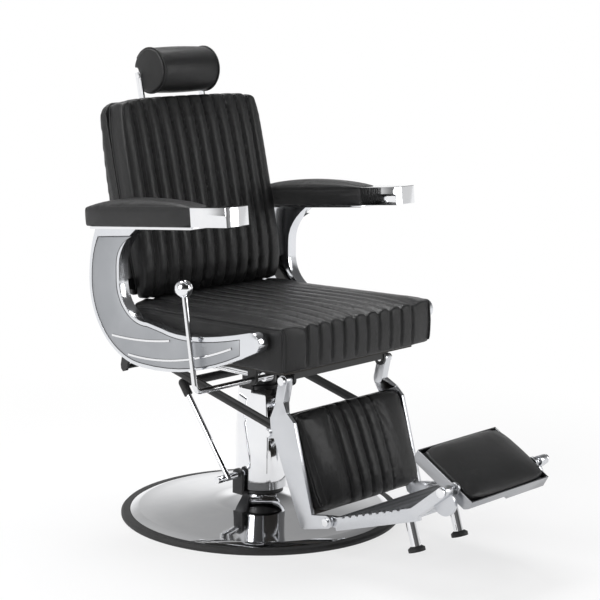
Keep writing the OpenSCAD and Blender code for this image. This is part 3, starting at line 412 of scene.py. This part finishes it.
def ease(value, low, high):
    """Rises smoothly from 0 at low to 1 at high, for a list of values."""
    t = np.clip((value - low) / (high - low), 0, 1)
    return t * t * (3 - 2 * t)


def press(obj, place, shift):
    """Moves a cover by a shift that depends on its straight coordinates."""
    local = place.into(coords(obj))
    put(obj, place.out(local + shift(local)))


def seams_at(pitch, count):
    return [(i - count / 2) * pitch for i in range(count + 1)]


SEAM_WIDTH = 0.0042
PUCKER_HEIGHT, PUCKER_STEP, PUCKER_LONG = 0.0005, 0.017, 0.041


def sew_channels(obj, place, pitch, count, depth, faces):
    """Presses the sewn seams in and puckers the cover beside them."""
    points = coords(obj)
    local = place.into(points)
    lift = normals(obj) @ place.turn
    into = lift.copy()
    into[:, 0] = 0
    size = np.linalg.norm(into, axis=1)
    into /= np.maximum(size, 1e-6)[:, None]
    weight = np.clip((size - 0.35) / 0.4, 0, 1) * faces(local, lift)
    run = local[:, 1] - local[:, 2]
    rise = np.zeros(len(local))
    for i, x in enumerate(seams_at(pitch, count)):
        d = local[:, 0] - x
        rise -= depth * np.exp(-(d / SEAM_WIDTH) ** 2)
        pucker = (np.sin(run * 2 * math.pi / PUCKER_STEP + i * 2.1)
                  + 0.6 * np.sin(run * 2 * math.pi / PUCKER_LONG + i))
        beside = np.exp(-(np.abs(d) / 0.009) ** 2) * (1 - np.exp(-(d / 0.003) ** 2))
        rise += PUCKER_HEIGHT * pucker * beside
    put(obj, points + (into * (rise * weight)[:, None]) @ place.turn.T)


def crease_line(obj, lines, depth, width):
    """Presses a seam line into a cover along a path of points."""
    points = coords(obj)
    n = normals(obj)
    path = np.concatenate(lines)
    near = np.full(len(points), 1.0)
    lo, hi = path.min(0) - 3 * width, path.max(0) + 3 * width
    inside = np.nonzero(np.all((points > lo) & (points < hi), axis=1))[0]
    for part in np.array_split(inside, max(1, len(inside) // 4000)):
        if len(part):
            near[part] = np.min(np.linalg.norm(points[part][:, None] - path[None], axis=2), axis=1)
    put(obj, points - n * (depth * np.exp(-(near / width) ** 2))[:, None])


def skin_of(obj):
    data = bmesh.new()
    data.from_mesh(obj.data)
    tree = BVHTree.FromBMesh(data)
    data.free()
    return tree


def even_path(points, step):
    points = np.asarray(points, float)
    lengths = np.concatenate([[0], np.cumsum(np.linalg.norm(np.diff(points, axis=0), axis=1))])
    at = np.linspace(0, lengths[-1], max(2, int(round(lengths[-1] / step)) + 1))
    return np.stack([np.interp(at, lengths, points[:, k]) for k in range(3)], axis=1)


def laid_on(skin, points, raised=0.0):
    """Moves each point of a path to the nearest place on a cover, with its normal."""
    spots, ups = [], []
    for p in points:
        spot, up, _, _ = skin.find_nearest(Vector(p))
        spots.append(np.array(spot) + np.array(up) * raised)
        ups.append(np.array(up))
    return np.array(spots), np.array(ups)


def tube(name, points, radius, closed=False):
    curve = bpy.data.curves.new(name, "CURVE")
    curve.dimensions = "3D"
    curve.bevel_depth = radius
    curve.bevel_resolution = 3
    curve.use_fill_caps = True
    spline = curve.splines.new("POLY")
    spline.points.add(len(points) - 1)
    for k, p in enumerate(points):
        spline.points[k].co = (*p, 1)
    spline.use_cyclic_u = closed
    obj = bpy.data.objects.new(name, curve)
    scene.collection.objects.link(obj)
    only(obj)
    bpy.ops.object.convert(target="MESH")
    obj = bpy.context.object
    bpy.ops.object.shade_smooth()
    return obj


def one_stitch():
    """A single sewn stitch: a short thread that dips at both ends."""
    rest_all()
    bpy.ops.mesh.primitive_uv_sphere_add(segments=6, ring_count=5, radius=1)
    obj = bpy.context.object
    obj.rotation_euler = (0, math.pi / 2, 0)
    settle(obj)
    points = coords(obj)
    data = (points, [tuple(p.vertices) for p in obj.data.polygons])
    bpy.data.objects.remove(obj)
    return data


stitch_shape = one_stitch()
STITCH_LENGTH, STITCH_THICK = 0.0042, 0.0006
STITCH_STEP = 0.0062
STITCH_RAISED = 0.0002


def stitches(name, rows, body):
    """Rows of thread: each row is (points, normals) on a cover, one stitch at each point."""
    shape, faces = stitch_shape
    all_points, all_faces = [], []
    for spots, ups in rows:
        for k in range(len(spots) - 1):
            along = spots[k + 1] - spots[k]
            size = np.linalg.norm(along)
            if size < 1e-5:
                continue
            along /= size
            up = ups[k] - along * (ups[k] @ along)
            up /= np.linalg.norm(up) + 1e-9
            side = np.cross(up, along)
            local = shape * [STITCH_LENGTH / 2, STITCH_THICK, STITCH_THICK]
            base = len(all_points) * len(shape)
            middle = (spots[k] + spots[k + 1]) / 2
            all_points.append(middle + local[:, :1] * along + local[:, 1:2] * side
                              + local[:, 2:] * up)
            all_faces += [tuple(base + i for i in f) for f in faces]
    mesh = bpy.data.meshes.new(name)
    mesh.from_pydata(np.concatenate(all_points).tolist(), [], all_faces)
    mesh.polygons.foreach_set("use_smooth", [True] * len(mesh.polygons))
    obj = bpy.data.objects.new(name, mesh)
    scene.collection.objects.link(obj)
    return finish_piece(obj, thread, body)


def channel_rows(skin, place, pitch, count, path):
    """Stitch rows down every channel, following a path of (y, z) in the pad's own place."""
    rows = []
    for x in seams_at(pitch, count):
        line = even_path(place.out([(x, y, z) for y, z in path]), STITCH_STEP)
        rows.append(laid_on(skin, line, STITCH_RAISED))
    return rows


# --- seat
SEAT_PITCH, SEAT_COUNT = 0.0418, 9
BACK_PITCH, BACK_COUNT = 0.040, 10
CALF_PITCH, CALF_COUNT = 0.038, 4
SEAT_HALF, SEAT_TAPER, SEAT_LENGTH = 0.272, 0.011, 0.514


def near_seam(x, pitch, count, width):
    return np.max([np.abs(x - s) < width for s in seams_at(pitch, count)], axis=0).astype(float)


def seat_side(y):
    """Half width of the seat at a distance behind its front edge."""
    return SEAT_HALF - SEAT_TAPER * y / SEAT_LENGTH


def seat_held(local, lift):
    sides = np.clip((np.abs(local[:, 0]) - seat_side(local[:, 1]) + 0.011) / 0.008, 0, 1)
    low = (local[:, 2] < 0.006).astype(float)
    return np.maximum.reduce([sides, low, near_seam(local[:, 0], SEAT_PITCH, SEAT_COUNT, 0.0032)])


def seat_rear(local):
    """Fills the seat's upper rear edge out to the back's cushion and to both sides."""
    near = ease(local[:, 1], 0.40, 0.50) * ease(local[:, 2], 0.04, 0.10)
    still = np.ones(len(local))
    return near[:, None] * np.stack([local[:, 0] * 0.02, still * 0.009, still * 0.004], axis=1)


seat_pad = stuffed("seat_pad", "seat_cushion", seat_place, 0.0055, 0.008, seat_held)
press(seat_pad, seat_place, seat_rear)
sew_channels(seat_pad, seat_place, SEAT_PITCH, SEAT_COUNT, 0.0042,
             lambda p, n: (np.clip((n[:, 2] + 0.25) / 0.2, 0, 1)
                           * (n[:, 1] < 0.5) * (p[:, 2] > 0.002)))
seat_edges = []
for s in (-1, 1):
    run = [(s * seat_side(y), y, 0.1035) for y in np.linspace(0.496, 0.02, 40)]
    corner = [(s * (SEAT_HALF - 0.009 * math.sin(a)), 0.022 - 0.018 * math.sin(a),
               0.1035 - 0.02 * (1 - math.cos(a)))
              for a in np.linspace(0.1, math.pi / 2, 8)]
    drop = [(s * 0.2635, 0.003, z) for z in np.linspace(0.08, 0.003, 12)]
    seat_edges.append(seat_place.out(run + corner + drop))
crease_line(seat_pad, [even_path(e, 0.004) for e in seat_edges], 0.0015, 0.004)
seat_skin = skin_of(seat_pad)
finish_piece(seat_pad, leather, "carriage")
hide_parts("seat_cushion")
for s, edge in zip(("right", "left"), seat_edges):
    spots, ups = laid_on(seat_skin, even_path(edge, 0.006), 0.0008)
    finish_piece(tube("seat_welt_" + s, spots, 0.0028), welt, "carriage")
rows = channel_rows(seat_skin, seat_place, SEAT_PITCH, SEAT_COUNT,
                    [(0.495, 0.118), (0.02, 0.120), (-0.004, 0.10), (-0.006, 0.01)])
for s in (-1, 1):
    line = [(s * (seat_side(y) - 0.0095), y, 0.112) for y in np.linspace(0.49, 0.03, 40)]
    line += [(s * 0.254, -0.003, z) for z in np.linspace(0.09, 0.006, 10)]
    rows.append(laid_on(seat_skin, even_path(seat_place.out(line), STITCH_STEP), STITCH_RAISED))
    line = [(s * (seat_side(y) + 0.007), y, 0.092) for y in np.linspace(0.49, 0.03, 40)]
    rows.append(laid_on(seat_skin, even_path(seat_place.out(line), STITCH_STEP), STITCH_RAISED))
stitches("seat_stitching", rows, "carriage")


# --- back
def back_held(local, lift):
    rear = (local[:, 1] > 0.010).astype(float)
    sides = np.clip((np.abs(local[:, 0]) - 0.232) / 0.008, 0, 1) * 0.6
    return np.maximum.reduce([rear, sides, near_seam(local[:, 0], BACK_PITCH, BACK_COUNT, 0.0032)])


back_pad = stuffed("back_pad", "back_cushion", back_place, 0.0055, 0.008, back_held)
press(back_pad, back_place, lambda p: np.outer(1 - ease(p[:, 2], 0.05, 0.13), (0, 0, -0.010)))
sew_channels(back_pad, back_place, BACK_PITCH, BACK_COUNT, 0.0042,
             lambda p, n: np.clip((-n[:, 1] + 0.35) / 0.2, 0, 1) * (p[:, 1] < 0.014))
back_skin = skin_of(back_pad)
finish_piece(back_pad, leather, "back")
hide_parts("back_cushion")
rows = channel_rows(back_skin, back_place, BACK_PITCH, BACK_COUNT,
                    [(0.004, 0.046), (-0.022, 0.062), (-0.038, 0.085), (-0.05, 0.12),
                     (-0.05, 0.50), (-0.03, 0.527), (0.01, 0.532)])
for s in (-1, 1):
    for x, y in ((0.2475, 0.004), (0.2475, 0.014)):
        line = [(s * x, y, z) for z in np.linspace(0.075, 0.49, 60)]
        rows.append(laid_on(back_skin, even_path(back_place.out(line), STITCH_STEP), 0.0003))
stitches("back_stitching", rows, "back")

shell = stuffed("back_shell_cover", "back_shell", back_place, 0.0055, 0.004,
                lambda p, n: np.clip((0.034 - p[:, 1]) / 0.008, 0, 1))
finish_piece(shell, leather, "back")
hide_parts("back_shell")
RIM_X, RIM_Y = 0.2445, 0.0175
rim = [(-RIM_X, RIM_Y, z) for z in np.linspace(0.065, 0.49, 40)]
rim += [(-RIM_X + 0.034 * (1 - math.cos(a)), RIM_Y, 0.493 + 0.036 * math.sin(a))
        for a in np.linspace(0.1, 1.5, 10)]
rim += [(x, RIM_Y, 0.5295) for x in np.linspace(-0.2, 0.2, 30)]
rim += [(RIM_X - 0.034 * (1 - math.cos(a)), RIM_Y, 0.493 + 0.036 * math.sin(a))
        for a in np.linspace(1.5, 0.1, 10)]
rim += [(RIM_X, RIM_Y, z) for z in np.linspace(0.49, 0.065, 40)]
spots, ups = laid_on(back_skin, even_path(back_place.out(rim), 0.006), 0.0004)
finish_piece(tube("back_welt", spots, 0.0026), welt, "back")

# --- headrest
ROLL_Y, ROLL_Z = -0.003, 0.597
roll = stuffed("headrest_pad", "headrest_cushion", back_place, 0.0042, 0.004,
               lambda p, n: (p[:, 1] > 0.034).astype(float))
roll_skin = skin_of(roll)
rows = []
for s, side in ((-1, "right"), (1, "left")):
    ring = [(s * 0.0925, ROLL_Y + 0.0575 * math.cos(a), ROLL_Z + 0.0575 * math.sin(a))
            for a in np.linspace(0.75, 2 * math.pi - 0.9, 70)]
    spots, ups = laid_on(roll_skin, even_path(back_place.out(ring), 0.005), 0.0005)
    crease_line(roll, [spots], 0.0012, 0.004)
    finish_piece(tube("headrest_welt_" + side, spots, 0.0023), welt, "headrest")
    ring = [(s * 0.0865, ROLL_Y + 0.060 * math.cos(a), ROLL_Z + 0.060 * math.sin(a))
            for a in np.linspace(0.8, 2 * math.pi - 0.95, 70)]
    rows.append(laid_on(roll_skin, even_path(back_place.out(ring), 0.0058), 0.0002))
stitches("headrest_stitching", rows, "headrest")
finish_piece(roll, leather, "headrest")
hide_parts("headrest_cushion")


# --- calf
def calf_held(local, lift):
    rear = (local[:, 1] > 0.026).astype(float)
    seams = near_seam(local[:, 0], CALF_PITCH, CALF_COUNT, 0.0028) * (local[:, 1] < 0.02)
    return np.maximum(rear, seams)


def calf_front(local):
    """Fills the front of the calf cushion out over the arms."""
    near = 1 - ease(local[:, 1], -0.005, 0.02)
    still = np.ones(len(local))
    return near[:, None] * np.stack([local[:, 0] * 0.035, still * -0.008, still * 0], axis=1)


calf_pad = stuffed("calf_pad", "calf_cushion", leg_place, 0.0048, 0.006, calf_held)
press(calf_pad, leg_place, calf_front)
sew_channels(calf_pad, leg_place, CALF_PITCH, CALF_COUNT, 0.0038,
             lambda p, n: np.clip((-n[:, 1] + 0.2) / 0.2, 0, 1))
calf_skin = skin_of(calf_pad)
calf_rows = channel_rows(calf_skin, leg_place, CALF_PITCH, CALF_COUNT,
                         [(0.01, -0.085), (-0.02, -0.095), (-0.02, -0.305), (0.01, -0.316)])
for s, side in ((-1, "right"), (1, "left")):
    edge = [(s * (0.185 - 0.011 * t), 0.001, -0.095 - 0.205 * t) for t in np.linspace(0, 1, 40)]
    spots, ups = laid_on(calf_skin, even_path(leg_place.out(edge), 0.006), 0.0006)
    crease_line(calf_pad, [spots], 0.0012, 0.004)
    finish_piece(tube("calf_welt_" + side, spots, 0.0024), welt, "leg_rest")
    edge = [(s * (0.176 - 0.011 * t), -0.012, -0.095 - 0.205 * t) for t in np.linspace(0, 1, 40)]
    calf_rows.append(laid_on(calf_skin, even_path(leg_place.out(edge), STITCH_STEP), STITCH_RAISED))
stitches("calf_stitching", calf_rows, "leg_rest")
finish_piece(calf_pad, leather, "leg_rest")
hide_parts("calf_cushion")

# --- flip rest
flip_pad = stuffed("flip_pad", "flip_cushion", flip_place, 0.0042, 0.005,
                   lambda p, n: (p[:, 2] < 0.012).astype(float))
press(flip_pad, flip_place, lambda p: ease(p[:, 2], 0.004, 0.02)[:, None] * p * (0.035, 0.03, 0))
finish_piece(flip_pad, leather, "flip_rest")
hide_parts("flip_cushion")

# --- arm pads
for side, place in arm_places.items():
    pad = stuffed("arm_pad_cover_" + side, "arm_pad_" + side, place, 0.0042, 0.004,
                  lambda p, n: ((p[:, 2] < 0.004) | (p[:, 1] < 0.123)).astype(float))
    skin = skin_of(pad)
    rows = []
    for s in (-1, 1):
        line = [(s * 0.0355, y, 0.0405) for y in np.linspace(0.125, 0.485, 60)]
        spots, ups = laid_on(skin, even_path(place.out(line), 0.005), 0.0003)
        crease_line(pad, [spots], 0.0012, 0.003)
        line = [(s * 0.0325, y, 0.0475) for y in np.linspace(0.125, 0.485, 60)]
        rows.append(laid_on(skin, even_path(place.out(line), STITCH_STEP), STITCH_RAISED))
    stitches("arm_stitching_" + side, rows, "carriage")
    finish_piece(pad, soft_leather, "carriage")
    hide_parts("arm_pad_" + side)


# ---------------------------------------------------------------- metal nodes
BEVEL_FROM = math.radians(38)
SHARP_FROM = math.radians(25)
WELD_GAP = 0.00003


def dress(node, material, edge=0.0):
    """Gives a carried-over node its finish, and rounds its edges a little."""
    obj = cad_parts[node]
    obj.data.materials.clear()
    obj.data.materials.append(material)
    for face in obj.data.polygons:
        face.use_smooth = True
    m = obj.modifiers.new("join", "WELD")
    m.merge_threshold = WELD_GAP
    if edge:
        m = obj.modifiers.new("edges", "BEVEL")
        m.width = edge
        m.segments = 2
        m.limit_method = "ANGLE"
        m.angle_limit = BEVEL_FROM
        m.use_clamp_overlap = True
        m.harden_normals = False
    m = obj.modifiers.new("sharp", "EDGE_SPLIT")
    m.split_angle = SHARP_FROM


for node, material, edge in (
        ("base_plate", enamel, 0), ("base_dish", chrome, 0), ("base_trim_ring", rubber, 0),
        ("base_socket", steel, 0), ("swivel_bearing", bronze, 0),
        ("pump_cylinder", enamel, 0), ("pump_gland", steel, 0), ("pump_bracket", enamel, 0),
        ("pump_lever_pin", chrome, 0), ("pump_lever", chrome, 0), ("pump_grip", rubber, 0),
        ("ram", chrome, 0), ("column_cover", chrome, 0), ("mount_head", enamel, 0),
        ("seat_frame", enamel, 0), ("seat_board", ply, 0),
        ("side_frame_right", cast, 0.0035), ("side_frame_left", cast, 0.0035),
        ("side_panel_right", satin, 0.0008), ("side_panel_left", satin, 0.0008),
        ("frame_spacers", enamel, 0.0015),
        ("arm_strip_right", chrome, 0.0015), ("arm_strip_left", chrome, 0.0015),
        ("arm_block_right", chrome, 0.0018), ("arm_block_left", chrome, 0.0018),
        ("back_axle", chrome, 0), ("leg_pivot_bolts", chrome, 0), ("lock_housing", steel, 0),
        ("lock_rod", chrome, 0), ("recline_lever", chrome, 0), ("recline_knob", chrome, 0),
        ("back_frame", enamel, 0), ("headrest_sleeves", enamel, 0),
        ("headrest_bars", chrome, 0.0008), ("headrest_screws", chrome, 0.0008),
        ("link_right", enamel, 0.001), ("link_left", enamel, 0.001),
        ("leg_arm_right", silver, 0.0025), ("leg_arm_left", silver, 0.0025),
        ("calf_board", ply, 0.001), ("leg_cross_tube", chrome, 0), ("link_pins", chrome, 0.0008),
        ("foot_bolts", chrome, 0.001), ("foot_frame", silver, 0.0015), ("foot_posts", chrome, 0),
        ("foot_pads", rubber, 0.001), ("flip_tray", tray_metal, 0.0015),
        ("flip_axle", chrome, 0.001)):
    dress(node, material, edge)
dress("foot_tread", tread_finish("foot_tread", foot_place))


# ------------------------------------------------------------ panel grooves: black lines drawn as painted shade
def rims(node, face):
    """The closed outlines of a node's flat outer face, at a distance from the middle."""
    data = bmesh.new()
    data.from_mesh(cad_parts[node].data)
    bmesh.ops.remove_doubles(data, verts=data.verts, dist=WELD_GAP)
    flat = {f for f in data.faces if abs(f.normal.x) > 0.99
            and abs(abs(f.calc_center_median().x) - face) < 0.0004}
    after = {}
    for f in flat:
        for loop in f.loops:
            if len(set(loop.edge.link_faces) & flat) == 1:
                after[tuple(loop.vert.co)] = tuple(loop.link_loop_next.vert.co)
    data.free()
    outlines = []
    while after:
        start, spot = next(iter(after.items()))
        outline = [start]
        del after[start]
        while spot in after:
            outline.append(spot)
            spot = after.pop(spot)
        outlines.append(outline)
    return outlines


for side in ("right", "left"):
    for k, outline in enumerate(rims("side_panel_" + side, PANEL_FACE)):
        # Thin black tubes along each panel's outline are painted shade for the recessed groove
        # around the panel.
        line = tube("panel_groove_shade_%s_%d" % (side, k), outline, 0.0006, closed=True)
        finish_piece(line, enamel, "carriage")


# ---------------------------------------------------------------- small parts
def socket_screw(name, radius, height):
    """A round screw head with a hexagon socket, standing on +Z."""
    rest_all()
    bpy.ops.mesh.primitive_cylinder_add(vertices=24, radius=radius, depth=height,
                                        location=(0, 0, height / 2))
    obj = bpy.context.object
    obj.name = name
    bpy.ops.object.mode_set(mode="EDIT")
    data = bmesh.from_edit_mesh(obj.data)
    for f in data.faces:
        f.select = f.normal.z > 0.9
    bmesh.update_edit_mesh(obj.data)
    bpy.ops.mesh.inset(thickness=radius * 0.18, depth=height * 0.22)
    bpy.ops.mesh.inset(thickness=radius * 0.38)
    bpy.ops.mesh.extrude_region_move(TRANSFORM_OT_translate={"value": (0, 0, -height * 0.6)})
    bpy.ops.object.mode_set(mode="OBJECT")
    bpy.ops.object.shade_smooth_by_angle(angle=math.radians(35))
    return obj


def copies(pattern, name, matrices, material, body):
    """Places copies of a pattern piece and joins them into one."""
    made = []
    for m in matrices:
        obj = bpy.data.objects.new(name, pattern.data.copy())
        scene.collection.objects.link(obj)
        obj.matrix_world = m
        made.append(obj)
    rest_all()
    for obj in made:
        obj.select_set(True)
    bpy.context.view_layer.objects.active = made[0]
    if len(made) > 1:
        bpy.ops.object.join()
    obj = settle(bpy.context.object)
    obj.name = name
    return finish_piece(obj, material, body)


def facing(point, direction):
    """A matrix that stands +Z of a pattern along a direction at a point."""
    m = Vector(direction).to_track_quat("Z", "Y").to_matrix().to_4x4()
    m.translation = Vector(point)
    return m


screw = socket_screw("screw_pattern", 0.0048, 0.0032)
spots = []
for place in arm_places.values():
    for y in (0.20, 0.33, 0.45):
        down = place.out([(0, 0, -1)])[0] - place.origin
        spots.append(facing(place.out([(0.0, y, -0.006)])[0], down))
copies(screw, "arm_strip_screws", spots, chrome, "carriage")
bpy.data.objects.remove(screw)

# --------------------------------------------------------------------- stage
CAMERA_RAY, GLOSSY_RAY, THROUGH_RAY = 0, 3, 6   # outputs of the light path node

rest_all()
bpy.ops.mesh.primitive_plane_add(size=60, location=(0, 0, 0))
floor = bpy.context.object
floor.name = "studio_floor"
f = Finish("studio_floor")
f.set(Base_Color=(0.9, 0.9, 0.91, 1), Roughness=0.9, Specular_IOR_Level=0.1)
x, y, _ = f.parts()
away = ((x * x + y * y) ** 0.5).between(0.55, 1.7)
ray = f.add("ShaderNodeLightPath", {}, {})
seen = (ray[CAMERA_RAY] + ray[GLOSSY_RAY] + ray[THROUGH_RAY]).clamp()
glow = f.add("ShaderNodeEmission", {}, {"Color": (1, 1, 1, 1), "Strength": 1.0}, 0)
lit = Wire(f, f.shader.outputs[0])
blend = f.add("ShaderNodeMixShader", {}, [seen * (away * 0.3 + 0.7), lit, glow], 0)
f.tree.links.new(blend.socket, f.tree.nodes["Material Output"].inputs["Surface"])
floor.data.materials.append(f.material)

world = bpy.data.worlds.new("studio")
scene.world = world
world.use_nodes = True


class Studio(Finish):
    """The room: a white backdrop, a pale right side, and a dim ceiling and camera side."""

    def __init__(self):
        self.tree = world.node_tree
        self.tree.nodes.clear()
        self.place = self.add("ShaderNodeTexCoord", {}, {}, "Generated")


room = Studio()
x, y, z = room.parts()
front = x * -0.736 + y * -0.677
side = x * 0.677 + y * -0.736
backdrop = 1 - front.between(-0.05, 0.5) * 0.86
above = z.between(0.1, 0.4) * (0.45 + side.between(-0.6, 0.5) * 0.4)
level = backdrop * (1 - side.between(0.2, 0.95) * 0.3) * (1 - above)
ray = room.add("ShaderNodeLightPath", {}, {})
strength = level * (0.42 + ray[GLOSSY_RAY] * 0.58) * (1 - ray[CAMERA_RAY]) + ray[CAMERA_RAY]
shine = room.add("ShaderNodeBackground", {}, {"Color": (1, 1, 1, 1), "Strength": strength}, 0)
room.add("ShaderNodeOutputWorld", {}, [shine])


def lamp(name, place, target, size, power):
    data = bpy.data.lights.new(name, "AREA")
    data.shape = "RECTANGLE"
    data.size, data.size_y = size
    data.energy = power
    obj = bpy.data.objects.new(name, data)
    scene.collection.objects.link(obj)
    obj.matrix_world = facing(place, Vector(place) - Vector(target))


lamp("window_left", (-3.2, 0.2, 2.0), (0, 0, 0.6), (2.0, 2.4), 85)
lamp("overhead", (0.4, 0.9, 3.2), (0, 0, 0.6), (2.2, 1.4), 85)
lamp("front_right", (1.9, -3.0, 1.7), (0, 0, 0.5), (1.2, 2.0), 38)

# -------------------------------------------------------------------- camera
PHOTO_WIDTH, FOCAL_LENGTH = 600, 1757.56   # in the photo's pixels
SENSOR_WIDTH = 36

az, pitch, roll_angle = (math.radians(v) for v in (-47.418, 10.412, 0.68))
behind = Vector((math.sin(az) * math.cos(pitch), -math.cos(az) * math.cos(pitch), math.sin(pitch)))
right = Vector((0, 0, 1)).cross(behind).normalized()
up = behind.cross(right)
right, up = (math.cos(roll_angle) * right + math.sin(roll_angle) * up,
             -math.sin(roll_angle) * right + math.cos(roll_angle) * up)
lens = bpy.data.cameras.new("studio_camera")
lens.sensor_width = SENSOR_WIDTH
lens.lens = FOCAL_LENGTH / PHOTO_WIDTH * SENSOR_WIDTH
camera = bpy.data.objects.new("studio_camera", lens)
scene.collection.objects.link(camera)
turn = Matrix((right, up, behind)).transposed().to_4x4()
turn.translation = Vector((-3.0743, -2.9509, 1.3247))
camera.matrix_world = turn
scene.camera = camera
scene.view_settings.view_transform = "Standard"
